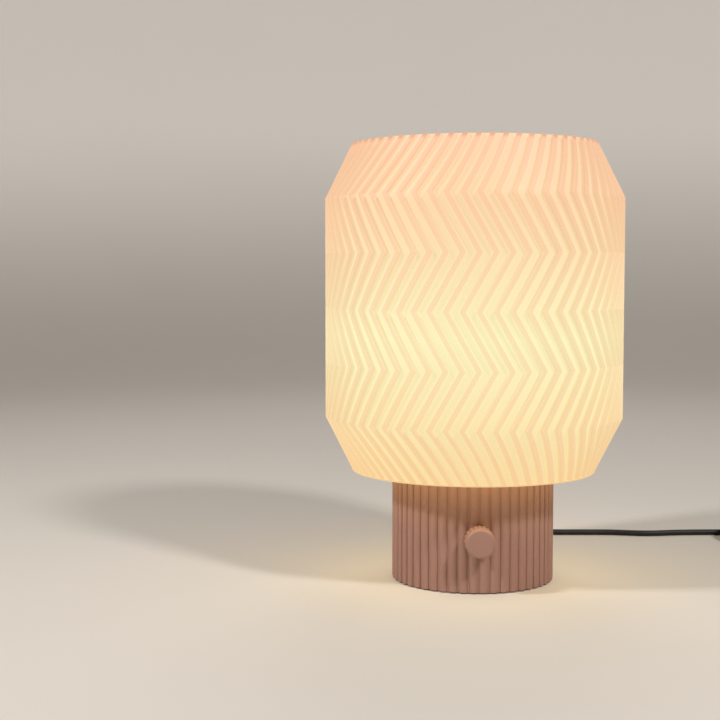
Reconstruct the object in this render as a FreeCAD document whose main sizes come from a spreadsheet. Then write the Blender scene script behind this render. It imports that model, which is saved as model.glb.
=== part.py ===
import FreeCAD, Part
import math
import operator
import os
from types import SimpleNamespace

import Sketcher
from FreeCAD import Placement, Rotation, Vector

# A table lamp: a glowing pleated shade that lifts off a reeded base, a bulb in a clamped lampholder,
# a rotary dimmer behind a fluted knob, and a mains flex with its plug. Millimetres. The origin is
# the middle of the base on the table, +Z is up and the knob faces -Y.

os.makedirs("parts", exist_ok=True)
doc = FreeCAD.newDocument("PleatedLamp")

# ---------------------------------------------------------------- driving dimensions

DIMENSIONS = {
    # shade
    "shade_radius": 100.0,       # ridges of the pleats at the creases
    "rim_radius": 82.0,          # ridges at the top and bottom rims
    "band_height": 36.5,
    "band_count": 6,
    "pleat_count": 60,
    "pleat_twist": 12.0,         # a pleat leans this many degrees round the shade in each band
    "pleat_depth": 3.0,
    "pleat_phase": -3.3,         # first edge of the ridge nearest the front
    "ridge_angle": 1.9,          # width of a ridge, in degrees round the shade
    "flank_angle": 0.45,
    "shade_wall_thickness": 1.2,
    "floor_thickness": 2.4,
    "floor_flange": 0.8,         # the thin edge under the pleats
    "floor_bore": 44.5,
    "floor_lip_height": 4.0,
    "floor_lip_thickness": 1.4,
    "top_thickness": 1.8,
    "seat_gap": 0.05,            # between the shade and the deck it rests on
    # base
    "base_radius": 54.6,         # over the crests of the reeds
    "base_height": 74.0,
    "base_lift": 0.8,            # shadow gap between the shell and the table
    "base_wall": 4.2,
    "deck_thickness": 3.0,
    "reed_count": 50,
    "reed_depth": 1.4,
    "reed_width": 5.0,
    "reed_round": 3.6,
    "collar_radius": 44.0,
    "collar_wall": 2.4,
    "collar_height": 3.0,
    "cover_thickness": 2.5,
    "cover_bottom": 1.5,
    "screw_circle": 46.4,
    "boss_radius": 4.5,
    "boss_height": 12.0,
    # knob and dimmer
    "knob_height": 35.4,
    "knob_radius": 9.7,
    "knob_length": 13.0,
    "knob_gap": 0.6,             # between the knob and the crests of the reeds
    "knob_edge": 1.2,
    "flute_count": 20,
    "flute_radius": 0.95,
    "shaft_radius": 3.0,
    "running_gap": 0.05,
    "bush_radius": 3.5,
    # lampholder and bulb
    "holder_radius": 19.6,
    "holder_bottom": 62.0,
    "holder_top": 100.0,
    "bulb_radius": 30.0,
    "bulb_contact_height": 77.0,
    "bulb_length": 110.0,
    "cap_radius": 13.1,
    # cord
    "cord_diameter": 4.4,
    "cord_length": 1800.0,       # from the strain relief to the plug
    "cord_height": 10.0,         # where it leaves the base
    "relief_length": 30.0,
    "coil_gap": 0.5,             # between neighbouring turns of the coil
    "plug_width": 35.0,
    "plug_thickness": 13.8,
    "plug_length": 36.0,
    "pin_radius": 2.0,
    "pin_length": 19.0,
    "pin_spacing": 18.6,
}

sheet = doc.addObject("Spreadsheet::Sheet", "Dimensions")
for row, (alias, value) in enumerate(DIMENSIONS.items(), start=1):
    sheet.set("A%d" % row, alias)
    sheet.set("B%d" % row, str(value))
    sheet.setAlias("B%d" % row, alias)
doc.recompute()


class Size:
    """A size from the sheet: its value now, and the expression that keeps a feature bound to it."""

    def __init__(self, value, text):
        self.value = value
        self.text = text

    def combined(self, other, sign, rule, swapped=False):
        other = as_size(other)
        first, second = (other, self) if swapped else (self, other)
        return Size(rule(first.value, second.value), "(%s %s %s)" % (first.text, sign, second.text))

    def __add__(self, other):
        return self.combined(other, "+", operator.add)

    def __radd__(self, other):
        return self.combined(other, "+", operator.add, swapped=True)

    def __sub__(self, other):
        return self.combined(other, "-", operator.sub)

    def __rsub__(self, other):
        return self.combined(other, "-", operator.sub, swapped=True)

    def __mul__(self, other):
        return self.combined(other, "*", operator.mul)

    def __truediv__(self, other):
        return self.combined(other, "/", operator.truediv)


def as_size(value):
    return value if isinstance(value, Size) else Size(float(value), "%.6g" % value)


d = SimpleNamespace(**{alias: Size(float(sheet.get(alias)), "Dimensions." + alias) for alias in DIMENSIONS})

wall_inner = d.base_radius - d.base_wall
cover_top = d.cover_bottom + d.cover_thickness
deck_bottom = d.base_height - d.deck_thickness
floor_bottom = d.base_height + d.seat_gap
floor_top = floor_bottom + d.floor_thickness
rim_bottom = floor_bottom + d.floor_flange
shade_top_height = d.base_height + d.band_height * d.band_count
cord_radius = d.cord_diameter / 2

nodes = []


# ---------------------------------------------------------------- building helpers

def bind(thing, prop, size):
    thing.setExpression(prop, as_size(size).text)


def new_body(label):
    body = doc.addObject("PartDesign::Body", label)
    body.Label = label
    nodes.append(body)
    return body


def origin_part(body, role):
    return next(part for part in body.Origin.OriginFeatures if part.Role == role)


def new_sketch(body, name, plane="XY_Plane", offset=0.0):
    sketch = body.newObject("Sketcher::SketchObject", "%s_%s" % (body.Name, name))
    sketch.AttachmentSupport = [(origin_part(body, plane), "")]
    sketch.MapMode = "FlatFace"
    bind(sketch, "AttachmentOffset.Base.z", offset)
    return sketch


def constrain(sketch, kind, places, size):
    index = sketch.addConstraint(Sketcher.Constraint(kind, *places, as_size(size).value))
    bind(sketch, "Constraints[%d]" % index, size)


def pin_point(sketch, geometry, end, x, y):
    """Hold one point of a sketch at x, y, on an axis of the sketch where the distance is nothing."""
    for kind, size, axis in (("DistanceX", as_size(x), -2), ("DistanceY", as_size(y), -1)):
        if abs(size.value) < 1e-9:
            sketch.addConstraint(Sketcher.Constraint("PointOnObject", geometry, end, axis))
        else:
            constrain(sketch, kind, (-1, 1, geometry, end), size)


def draw_circle(sketch, radius, x=0.0, y=0.0):
    centre = Vector(as_size(x).value, as_size(y).value, 0)
    index = sketch.addGeometry(Part.Circle(centre, Vector(0, 0, 1), as_size(radius).value), False)
    constrain(sketch, "Radius", (index,), radius)
    pin_point(sketch, index, 3, x, y)


def arc_between(start, end, radius):
    """The shorter arc from start to end: anticlockwise where radius is positive, else clockwise."""
    chord = end - start
    left = Vector(-chord.y, chord.x, 0).normalize()
    reach = math.sqrt(max(radius * radius - chord.Length * chord.Length / 4, 0.0))
    side = 1 if radius > 0 else -1
    centre = (start + end) / 2 + left * (side * reach)
    first, last = (start, end) if radius > 0 else (end, start)
    angles = [math.atan2(point.y - centre.y, point.x - centre.x) for point in (first, last)]
    if angles[1] <= angles[0]:
        angles[1] += 2 * math.pi
    return Part.ArcOfCircle(Part.Circle(centre, Vector(0, 0, 1), abs(radius)), *angles)


def draw_outline(sketch, corners):
    """A closed outline. A corner is (x, y), or (x, y, radius) where an arc leads on to the next."""
    places = [Vector(as_size(corner[0]).value, as_size(corner[1]).value, 0) for corner in corners]
    ends = []
    for index, corner in enumerate(corners):
        start = places[index]
        end = places[(index + 1) % len(corners)]
        if len(corner) == 3:
            radius = as_size(corner[2])
            geometry = sketch.addGeometry(arc_between(start, end, radius.value), False)
            sketch_radius = radius if radius.value > 0 else 0 - radius
            constrain(sketch, "Radius", (geometry,), sketch_radius)
            ends.append((geometry, 1, 2) if radius.value > 0 else (geometry, 2, 1))
        else:
            geometry = sketch.addGeometry(Part.LineSegment(start, end), False)
            ends.append((geometry, 1, 2))
    for index, corner in enumerate(corners):
        geometry, first, _ = ends[index]
        before, _, last = ends[index - 1]
        sketch.addConstraint(Sketcher.Constraint("Coincident", before, last, geometry, first))
        pin_point(sketch, geometry, first, corner[0], corner[1])


def pad(body, sketch, length, name, backwards=False):
    feature = body.newObject("PartDesign::Pad", "%s_%s" % (body.Name, name))
    feature.Profile = sketch
    feature.Reversed = backwards
    bind(feature, "Length", length)
    return feature


def pocket(body, sketch, length, name, forwards=False):
    """Cut a sketch into the solid against its normal, or along it where forwards is set."""
    feature = body.newObject("PartDesign::Pocket", "%s_%s" % (body.Name, name))
    feature.Profile = sketch
    feature.Reversed = forwards
    bind(feature, "Length", length)
    return feature


def round_pattern(body, feature, count, name):
    pattern = body.newObject("PartDesign::PolarPattern", "%s_%s" % (body.Name, name))
    pattern.Originals = [feature]
    pattern.Axis = (origin_part(body, "Z_Axis"), [""])
    pattern.Angle = 360
    bind(pattern, "Occurrences", count)
    body.Tip = pattern
    return pattern


def turned(label, corners, placement=None):
    """A turned piece, from half its section: x is the radius and y is the height along its axis."""
    body = new_body(label)
    sketch = new_sketch(body, "section", "XZ_Plane")
    draw_outline(sketch, corners)
    turn = body.newObject("PartDesign::Revolution", label + "_turn")
    turn.Profile = sketch
    turn.ReferenceAxis = (sketch, ["V_Axis"])
    turn.Angle = 360
    if placement:
        body.Placement = placement
    return body


def ring(label, inner, outer, low, high, placement=None):
    corners = [(inner, low), (outer, low), (outer, high), (inner, high)]
    return turned(label, corners, placement)


def formed(label, shape, placement=None):
    """A piece whose shape comes from a formula or a wire path."""
    feature = doc.addObject("Part::Feature", label)
    feature.Label = label
    feature.Shape = shape
    if placement:
        feature.Placement = placement
    nodes.append(feature)
    return feature


def towards_back(y, z):
    """Lay a turned piece down: its axis runs towards +Y, out of the back of the base."""
    return Placement(Vector(0, y, z), Rotation(Vector(1, 0, 0), -90))


def towards_front(y, z):
    """Lay a turned piece down: its axis runs towards -Y, out of the front of the base."""
    return Placement(Vector(0, y, z), Rotation(Vector(1, 0, 0), 90))


def at_angle(radius, degrees):
    """A point on a circle round the lamp's axis."""
    turn = math.radians(degrees)
    return Vector(radius * math.cos(turn), radius * math.sin(turn), 0)


# ---------------------------------------------------------------- shade

def pleat_level(height, ridge_radius, twist, inset):
    """The points of one level of the pleated wall, four to a pleat, going round from the front.

    A pleat is a flat ridge, a flank, a wider flat valley and a flank. The inset moves the outer
    line inwards through the wall, which narrows the hollow of a ridge and widens a valley.
    """
    pitch = 360.0 / d.pleat_count.value
    shift = math.degrees(inset / ridge_radius)
    ridge = ridge_radius - inset
    valley = ridge - d.pleat_depth.value
    ridge_start = d.pleat_phase.value + twist
    ridge_end = ridge_start + d.ridge_angle.value
    pattern = [
        (ridge_start + shift, ridge),
        (ridge_end - shift, ridge),
        (ridge_end + d.flank_angle.value - shift, valley),
        (ridge_start + pitch - d.flank_angle.value + shift, valley),
    ]
    points = []
    for pleat in range(int(d.pleat_count.value)):
        for angle, radius in pattern:
            turn = math.radians(angle + pleat * pitch)
            points.append(Vector(radius * math.sin(turn), -radius * math.cos(turn), height))
    return points


def shade_levels():
    """Height, ridge radius and twist of the bottom rim, the creases and the top rim."""
    bands = int(d.band_count.value)
    levels = []
    for index in range(bands + 1):
        rim = index in (0, bands)
        height = rim_bottom.value if index == 0 else (d.base_height + d.band_height * index).value
        radius = d.rim_radius.value if rim else d.shade_radius.value
        twist = d.pleat_twist.value if index % 2 == 0 else 0.0
        levels.append((height, radius, twist))
    return levels


def facet(*corners):
    return Part.Face(Part.makePolygon(list(corners) + [corners[0]]))


def band_facets(low, high, leans_on):
    """The folded skin between two levels: each strip is two flat facets, split the short way."""
    facets = []
    count = len(low)
    for index in range(count):
        after = (index + 1) % count
        if leans_on:
            facets.append(facet(low[index], low[after], high[index]))
            facets.append(facet(low[after], high[after], high[index]))
        else:
            facets.append(facet(low[index], low[after], high[after]))
            facets.append(facet(low[index], high[after], high[index]))
    return facets


def pleated_wall():
    outer = [pleat_level(*level, 0.0) for level in shade_levels()]
    inner = [pleat_level(*level, d.shade_wall_thickness.value) for level in shade_levels()]
    facets = []
    for index, (lower, upper) in enumerate(zip(shade_levels(), shade_levels()[1:])):
        leans_on = upper[2] > lower[2]
        facets += band_facets(outer[index], outer[index + 1], leans_on)
        facets += band_facets(inner[index], inner[index + 1], leans_on)
    for rim in (0, -1):
        for index in range(len(outer[rim])):
            after = (index + 1) % len(outer[rim])
            facets.append(facet(outer[rim][index], outer[rim][after], inner[rim][after], inner[rim][index]))
    skin = Part.Shell(facets)
    skin.sewShape()
    wall = Part.Solid(Part.Shell(skin.Faces))
    if wall.Volume < 0:
        wall.reverse()
    return wall


formed("shade_wall", pleated_wall())

rim_inner = d.rim_radius - d.pleat_depth - d.shade_wall_thickness
lip_outer = rim_inner - 0.5
lip_top = floor_top + d.floor_lip_height
floor_edge = 0.3
turned("shade_floor", [
    (d.floor_bore, floor_bottom),
    (d.rim_radius - floor_edge, floor_bottom),
    (d.rim_radius, floor_bottom + floor_edge),
    (d.rim_radius, rim_bottom),
    (lip_outer, rim_bottom),
    (lip_outer, lip_top),
    (lip_outer - d.floor_lip_thickness, lip_top),
    (lip_outer - d.floor_lip_thickness, floor_top),
    (d.floor_bore, floor_top),
])

top_radius = rim_inner - 0.2
top_slope = (d.shade_radius - d.rim_radius) / d.band_height
top_surface = shade_top_height - 0.6     # let in below the tips of the pleats
turned("shade_top", [
    (0, top_surface - d.top_thickness),
    (top_radius + top_slope * d.top_thickness, top_surface - d.top_thickness),
    (top_radius, top_surface),
    (0, top_surface),
])


# ---------------------------------------------------------------- base

screw_angles = (-90, 30, 150)
boss_bore = 1.25
seat_half = 9.0               # the square pad inside the front wall that the dimmer sits on
seat_step = 3.0
spot_face_radius = 7.6        # the flat behind the knob, where the nut is
spot_face_depth = 1.8
bush_fit = 0.1
cord_hole_radius = 4.5
reed_root = 0.6              # how far a reed is sunk into the core
seat_face = 0 - (wall_inner - seat_step)
spot_face_y = 0 - (d.base_radius - spot_face_depth)


def make_base_shell():
    body = new_body("base_shell")
    height = d.base_height - d.base_lift

    core = new_sketch(body, "core", offset=d.base_lift)
    draw_circle(core, d.base_radius - d.reed_depth)
    pad(body, core, height, "core_pad")

    reed = new_sketch(body, "reed", offset=d.base_lift)
    half = d.reed_width / 2
    foot = d.base_radius - d.reed_depth - reed_root
    crest_sag = d.reed_round.value - math.sqrt(d.reed_round.value ** 2 - half.value ** 2)
    shoulder = d.base_radius - crest_sag
    middle = 180.0 / d.reed_count.value - 90.0
    reed.AttachmentOffset = Placement(Vector(0, 0, d.base_lift.value), Rotation(Vector(0, 0, 1), middle))
    draw_outline(reed, [
        (foot, 0 - half),
        (shoulder, 0 - half, d.reed_round),
        (shoulder, half),
        (foot, half),
    ])
    reed_pad = pad(body, reed, height, "reed_pad")
    round_pattern(body, reed_pad, d.reed_count, "reeds")

    hollow = new_sketch(body, "hollow", offset=d.base_lift)
    draw_circle(hollow, wall_inner)
    pocket(body, hollow, deck_bottom - d.base_lift, "hollow_cut", forwards=True)

    collar = new_sketch(body, "collar", offset=d.base_height)
    draw_circle(collar, d.collar_radius)
    draw_circle(collar, d.collar_radius - d.collar_wall)
    pad(body, collar, d.collar_height, "collar_pad")

    opening = new_sketch(body, "holder_opening", offset=d.base_height)
    draw_circle(opening, d.holder_radius + 0.3)
    pocket(body, opening, d.deck_thickness + 1, "holder_cut")

    boss = new_sketch(body, "boss", offset=cover_top)
    draw_circle(boss, d.boss_radius, 0, 0 - d.screw_circle)
    draw_circle(boss, boss_bore, 0, 0 - d.screw_circle)
    boss_pad = pad(body, boss, d.boss_height, "boss_pad")
    round_pattern(body, boss_pad, len(screw_angles), "bosses")

    seat = new_sketch(body, "dimmer_seat", offset=d.knob_height - seat_half)
    in_wall = 0 - (wall_inner + 1)
    draw_outline(seat, [
        (-seat_half, in_wall),
        (seat_half, in_wall),
        (seat_half, seat_face),
        (-seat_half, seat_face),
    ])
    pad(body, seat, 2 * seat_half, "dimmer_seat_pad")

    inside = wall_inner - 2 * seat_step
    through_wall = 20
    bush_hole = new_sketch(body, "bush_hole", "XZ_Plane", inside)
    draw_circle(bush_hole, d.bush_radius + bush_fit, 0, d.knob_height)
    pocket(body, bush_hole, through_wall, "bush_cut", forwards=True)

    spot_face = new_sketch(body, "spot_face", "XZ_Plane", 0 - spot_face_y)
    draw_circle(spot_face, spot_face_radius, 0, d.knob_height)
    pocket(body, spot_face, through_wall, "spot_face_cut", forwards=True)

    cord_hole = new_sketch(body, "cord_hole", "XZ_Plane", 0 - inside)
    draw_circle(cord_hole, cord_hole_radius, 0, d.cord_height)
    pocket(body, cord_hole, through_wall, "cord_cut")
    return body


make_base_shell()


def make_bottom_cover():
    body = new_body("bottom_cover")
    disc = new_sketch(body, "disc", offset=d.cover_bottom)
    draw_circle(disc, wall_inner - 0.2)
    pad(body, disc, d.cover_thickness, "disc_pad")
    doc.recompute()
    places = new_sketch(body, "screw_places", offset=d.cover_bottom)
    clearance_diameter = 3.4
    for angle in screw_angles:
        turn = math.radians(angle)
        x = d.screw_circle * math.cos(turn)
        y = d.screw_circle * math.sin(turn)
        draw_circle(places, clearance_diameter / 2, x, y)
    doc.recompute()
    hole = body.newObject("PartDesign::Hole", "bottom_cover_screw_holes")
    hole.Profile = places
    hole.Reversed = True
    hole.DepthType = "ThroughAll"
    hole.Diameter = clearance_diameter
    hole.HoleCutType = "Countersink"
    hole.HoleCutCustomValues = True
    hole.HoleCutDiameter = 6.4
    hole.HoleCutCountersinkAngle = 90
    return body


make_bottom_cover()

foot_inner, foot_outer = 32.0, 41.0
ring("foot_ring", foot_inner, foot_outer, 0, d.cover_bottom)


def spread(label, shape, placements):
    """Identical fasteners: one group of separate solids under one name."""
    copies = []
    for placement in placements:
        copy = shape.copy()
        copy.Placement = placement
        copies.append(copy)
    return formed(label, Part.makeCompound(copies))


slot_width = 0.6


def countersunk_screw(head_radius, shank_radius, length):
    """A countersunk screw with a cross recess, its flat head at height 0 and its point upwards."""
    head_height = head_radius - shank_radius
    head = Part.makeCone(head_radius, shank_radius, head_height)
    shank = Part.makeCylinder(shank_radius, length, Vector(0, 0, head_height * 0.99))
    reach = head_radius * 0.65
    slot = Part.makeBox(2 * reach, slot_width, slot_width, Vector(-reach, -slot_width / 2, -0.1))
    cross = slot.copy()
    cross.rotate(Vector(0, 0, 0), Vector(0, 0, 1), 90)
    return head.fuse(shank).cut(slot).cut(cross).removeSplitter()


def pan_screw(head_radius, shank_radius, head_height, length):
    """A slotted pan-head screw, its head upwards from height 0 and its shank below."""
    head = Part.makeCylinder(head_radius, head_height)
    head = head.makeFillet(head_height * 0.5, [head.Edges[0]])
    shank = Part.makeCylinder(shank_radius, length + 0.1, Vector(0, 0, -length))
    reach = head_radius * 1.5
    slot_floor = head_height - slot_width
    slot = Part.makeBox(2 * reach, slot_width, slot_width + 0.1, Vector(-reach, -slot_width / 2, slot_floor))
    return head.fuse(shank).cut(slot).removeSplitter()


cover_screw_level = Vector(0, 0, d.cover_bottom.value + 0.1)
spread("cover_screws", countersunk_screw(head_radius=3.0, shank_radius=1.2, length=9.0), [
    Placement(at_angle(d.screw_circle.value, angle) + cover_screw_level, Rotation()) for angle in screw_angles
])


# ---------------------------------------------------------------- lampholder

holder_wall = 2.0
holder_bore = d.holder_radius - holder_wall
flange_top = deck_bottom
flange_bottom = flange_top - 2.5
flange_radius = d.holder_radius + 3.4
mouth_radius = holder_bore - 2
turned("lampholder_body", [
    (holder_bore, d.holder_bottom),
    (d.holder_radius, d.holder_bottom),
    (d.holder_radius, flange_bottom),
    (flange_radius, flange_bottom),
    (flange_radius, flange_top),
    (d.holder_radius, flange_top),
    (d.holder_radius, d.holder_top - 1),
    (d.holder_radius - 1, d.holder_top),
    (mouth_radius, d.holder_top),
    (mouth_radius, d.holder_top - 2),
    (holder_bore, d.holder_top - 2),
])

ring_bore = d.holder_radius + 0.05
ring_radius = 28.5
ring_top = d.base_height + 6.4
turned("lampholder_ring", [
    (ring_bore, d.base_height),
    (ring_radius, d.base_height),
    (ring_radius, ring_top - 2.4),
    (ring_radius - 1.2, ring_top - 1.2),
    (ring_radius - 4.5, ring_top),
    (ring_bore, ring_top),
])

cap_bottom = d.holder_bottom - 12
cap_floor = 2.0
cable_hole = 3.5
turned("lampholder_cap", [
    (cable_hole, cap_bottom),
    (11, cap_bottom),
    (d.holder_radius, cap_bottom + 6),
    (d.holder_radius, d.holder_bottom),
    (holder_bore, d.holder_bottom),
    (holder_bore, cap_bottom + 7),
    (10, cap_bottom + cap_floor),
    (cable_hole, cap_bottom + cap_floor),
])

core_radius = holder_bore - 0.1
core_bore = 14.4
contact_top = d.bulb_contact_height - 0.1
contact_seat = contact_top - 2.6
turned("lampholder_core", [
    (0, d.holder_bottom + 1),
    (core_radius, d.holder_bottom + 1),
    (core_radius, d.holder_top - 8),
    (core_bore, d.holder_top - 8),
    (core_bore, contact_seat),
    (0, contact_seat),
])

shell_inner, shell_outer = 13.6, 14.2
shell_top = d.holder_top - 4
turned("lampholder_shell", [
    (shell_inner, contact_seat),
    (shell_outer, contact_seat),
    (shell_outer, shell_top),
    (shell_outer + 0.7, shell_top + 0.8),
    (shell_outer + 0.4, shell_top + 1.2),
    (shell_inner, shell_top + 0.1),
])


def make_centre_contact():
    """A bent brass tongue: fixed flat at one end, its free end lifted to meet the bulb."""
    body = new_body("centre_contact")
    tongue_width = 6.0
    sheet_thickness = 0.7
    sketch = new_sketch(body, "side", "XZ_Plane", -tongue_width / 2)
    draw_outline(sketch, [
        (-8, contact_seat),
        (-1, contact_seat),
        (2, contact_top - sheet_thickness),
        (5, contact_top - sheet_thickness),
        (5, contact_top),
        (1.6, contact_top),
        (-1.4, contact_seat + sheet_thickness),
        (-8, contact_seat + sheet_thickness),
    ])
    pad(body, sketch, tongue_width, "tongue_pad")
    return body


make_centre_contact()


# ---------------------------------------------------------------- bulb

bulb_bottom = d.bulb_contact_height
bulb_top = bulb_bottom + d.bulb_length
globe_centre = bulb_top - d.bulb_radius
seam_radius = 27.5
seam_height = globe_centre - math.sqrt(d.bulb_radius.value ** 2 - seam_radius ** 2)
globe_wall = 1.2
inner_radius = d.bulb_radius - globe_wall
inner_seam = seam_radius - globe_wall
turned("bulb_globe", [
    (inner_seam, seam_height),
    (seam_radius, seam_height, d.bulb_radius),
    (d.bulb_radius, globe_centre, d.bulb_radius),
    (0, bulb_top),
    (0, bulb_top - globe_wall, 0 - inner_radius),
    (inner_radius, globe_centre, 0 - inner_radius),
])

cap_top = bulb_bottom + 27
plate_bottom = seam_height + 2
spigot_radius = inner_seam - 0.3
collar_top = seam_height - 0.02
turned("bulb_collar", [
    (0, cap_top),
    (13.4, cap_top),
    (15.2, cap_top + 6, -70),
    (seam_radius, collar_top),
    (spigot_radius, collar_top),
    (spigot_radius, plate_bottom),
    (0, plate_bottom),
])

plate_radius = 23.0
plate_face = plate_bottom + 1.2
emitter_inner, emitter_outer = 15.0, 19.0
emitter_top = plate_face + 0.7
turned("led_plate", [
    (0, plate_bottom),
    (plate_radius, plate_bottom),
    (plate_radius, plate_face),
    (emitter_outer, plate_face),
    (emitter_outer, emitter_top),
    (emitter_inner, emitter_top),
    (emitter_inner, plate_face),
    (0, plate_face),
])

insulator_bottom = bulb_bottom + 1
insulator_top = bulb_bottom + 3


def bulb_thread():
    """Half the section of the screw cap: round crests and troughs down to the insulator."""
    crests = 5
    pitch = 3.6
    trough = 12.0
    crest_radius = 1.6
    thread_top = cap_top - 4
    corners = [(0, insulator_top), (9.0, insulator_top), (trough, thread_top - pitch * crests)]
    for crest in range(crests):
        low = thread_top - pitch * (crests - crest)
        corners.append((trough, low + 0.25 * pitch, crest_radius))
        corners.append((trough, low + 0.75 * pitch))
    corners += [(trough, thread_top), (d.cap_radius, cap_top - 3), (d.cap_radius, cap_top), (0, cap_top)]
    return corners


turned("bulb_cap", bulb_thread())

turned("bulb_insulator", [
    (0, insulator_bottom),
    (4.8, insulator_bottom),
    (8.8, insulator_top),
    (0, insulator_top),
])

turned("bulb_contact", [
    (0, bulb_bottom),
    (3.0, bulb_bottom, 3.6),
    (4.6, insulator_bottom),
    (0, insulator_bottom),
])


# ---------------------------------------------------------------- dimmer and knob

case_depth = 8.0
case_half = 8.0
board_face = seat_face + case_depth
board_thickness = 1.6
parts_face = board_face + board_thickness


def block(label, x, y, z):
    """A plain block, given as its low and high side along each axis."""
    box = doc.addObject("Part::Box", label)
    box.Label = label
    for prop, place, (low, high) in (("Length", "x", x), ("Width", "y", y), ("Height", "z", z)):
        bind(box, prop, as_size(high) - low)
        bind(box, "Placement.Base." + place, low)
    nodes.append(box)
    return box


def make_dimmer_body():
    """The square case of the control, bored for its shaft."""
    body = new_body("dimmer_body")
    case = new_sketch(body, "case", "XZ_Plane", 0 - board_face)
    draw_outline(case, [
        (-case_half, d.knob_height - case_half),
        (case_half, d.knob_height - case_half),
        (case_half, d.knob_height + case_half),
        (-case_half, d.knob_height + case_half),
    ])
    pad(body, case, case_depth, "case_pad")
    bore = new_sketch(body, "bore", "XZ_Plane", 0 - seat_face)
    draw_circle(bore, d.shaft_radius + d.running_gap, 0, d.knob_height)
    pocket(body, bore, shaft_grip + 0.5, "bore_cut")
    return body


shaft_grip = 4.5             # how far the shaft reaches into the case
make_dimmer_body()

block("dimmer_board", (-19, 19), (board_face, parts_face), (20, 50))

bush_length = 9.5
washer_thickness = 0.6
turned("dimmer_bush", [
    (d.shaft_radius + d.running_gap, 0),
    (d.bush_radius, 0),
    (d.bush_radius, bush_length),
    (d.shaft_radius + d.running_gap, bush_length),
], towards_front(seat_face.value, d.knob_height.value))

ring("dimmer_washer", d.bush_radius + 0.02, 6.2, 0, washer_thickness,
     towards_front(spot_face_y.value, d.knob_height.value))


def make_dimmer_nut():
    body = new_body("dimmer_nut")
    sketch = new_sketch(body, "hexagon")
    half_flats = 5.0
    corners = [at_angle(half_flats / math.cos(math.radians(30)), 60 * side) for side in range(6)]
    draw_outline(sketch, [(corner.x, corner.y) for corner in corners])
    draw_circle(sketch, d.bush_radius + 0.02)
    pad(body, sketch, 2.2, "nut_pad")
    body.Placement = towards_front(spot_face_y.value - washer_thickness, d.knob_height.value)
    return body


make_dimmer_nut()


def make_choke(x, z):
    """A ring-core choke, lying flat on the board."""
    core_radius, core_thickness = 6.0, 2.6
    middle = Vector(x, board_back + core_thickness, z)
    return Part.makeTorus(core_radius, core_thickness, middle, Vector(0, 1, 0))


def make_capacitor(x, z):
    width, depth, height = 13.0, 8.0, 11.0
    case = Part.makeBox(width, depth, height, Vector(x, board_back, z))
    return case.makeFillet(0.8, case.Edges)


def make_heat_sink(x, z):
    """A plate with four upright fins."""
    width, height, plate = 16.0, 10.0, 1.5
    fins, fin_thickness, fin_depth = 4, 1.4, 7.0
    sink = Part.makeBox(width, plate, height, Vector(x, board_back, z))
    step = (width - fin_thickness) / (fins - 1)
    for fin in range(fins):
        place = Vector(x + fin * step, board_back + plate - 0.1, z)
        sink = sink.fuse(Part.makeBox(fin_thickness, fin_depth, height, place))
    return sink.removeSplitter()


board_back = parts_face.value
board_parts = [make_choke(-9, 30), make_capacitor(2, 23), make_heat_sink(-15, 38.5)]
formed("dimmer_parts", Part.makeCompound(board_parts))


def make_knob():
    """The fluted knob: turned about its own Z axis, hollow behind, with a hub for the shaft."""
    body = new_body("knob")
    section = new_sketch(body, "section", "XZ_Plane")
    rim = d.knob_radius - 2.0
    front_radius = d.knob_radius - 0.6
    hub_start = 6.0
    draw_outline(section, [
        (rim, 0),
        (d.knob_radius, 0),
        (front_radius, d.knob_length - d.knob_edge, d.knob_edge),
        (front_radius - d.knob_edge, d.knob_length),
        (0, d.knob_length),
        (0, d.knob_length - knob_front),
        (d.shaft_radius, d.knob_length - knob_front),
        (d.shaft_radius, hub_start),
        (rim, hub_start),
    ])
    turn = body.newObject("PartDesign::Revolution", "knob_turn")
    turn.Profile = section
    turn.ReferenceAxis = (section, ["V_Axis"])
    turn.Angle = 360
    flute = new_sketch(body, "flute")
    draw_circle(flute, d.flute_radius, d.knob_radius + 0.25, 0)
    cut = pocket(body, flute, d.knob_length - d.knob_edge - 0.8, "flute_cut", forwards=True)
    round_pattern(body, cut, d.flute_count, "flutes")
    body.Placement = towards_front(knob_back.value, d.knob_height.value)
    return body


knob_front = 2.6             # thickness of the knob's front
knob_back = 0 - (d.base_radius + d.knob_gap)
make_knob()

shaft_start = seat_face + shaft_grip
shaft_end = knob_back - (d.knob_length - knob_front - 0.1)
shaft_length = shaft_start - shaft_end
shaft_chamfer = 0.5
turned("dimmer_shaft", [
    (0, 0),
    (d.shaft_radius, 0),
    (d.shaft_radius, shaft_length - shaft_chamfer),
    (d.shaft_radius - shaft_chamfer, shaft_length),
    (0, shaft_length),
], towards_front(shaft_start.value, d.knob_height.value))


# ---------------------------------------------------------------- wire paths

def rounded_route(points):
    """Straight runs joined by tangent arcs: each radius is 0.45 of the shorter run over tan(turn / 2)."""
    edges = []
    radii = []
    start = points[0]
    for before, corner, after in zip(points, points[1:], points[2:]):
        arriving = (corner - before).normalize()
        leaving = (after - corner).normalize()
        half_turn = arriving.getAngle(leaving) / 2
        cut = 0.45 * min((corner - before).Length, (after - corner).Length)
        radius = cut / math.tan(half_turn)
        first = corner - arriving * cut
        last = corner + leaving * cut
        inward = (leaving - arriving).normalize()
        middle = corner + inward * (radius / math.cos(half_turn) - radius)
        edges.append(Part.LineSegment(start, first).toShape())
        edges.append(Part.Arc(first, middle, last).toShape())
        radii.append(radius)
        start = last
    edges.append(Part.LineSegment(start, points[-1]).toShape())
    return Part.Wire(edges), radii


def tube(wire, radius):
    """A round tube along a wire, with its section square to the wire's start."""
    first = wire.Edges[0]
    start = first.valueAt(first.FirstParameter)
    direction = first.tangentAt(first.FirstParameter)
    section = Part.Wire(Part.makeCircle(radius, start, direction))
    return wire.makePipeShell([section], True, False)


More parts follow.
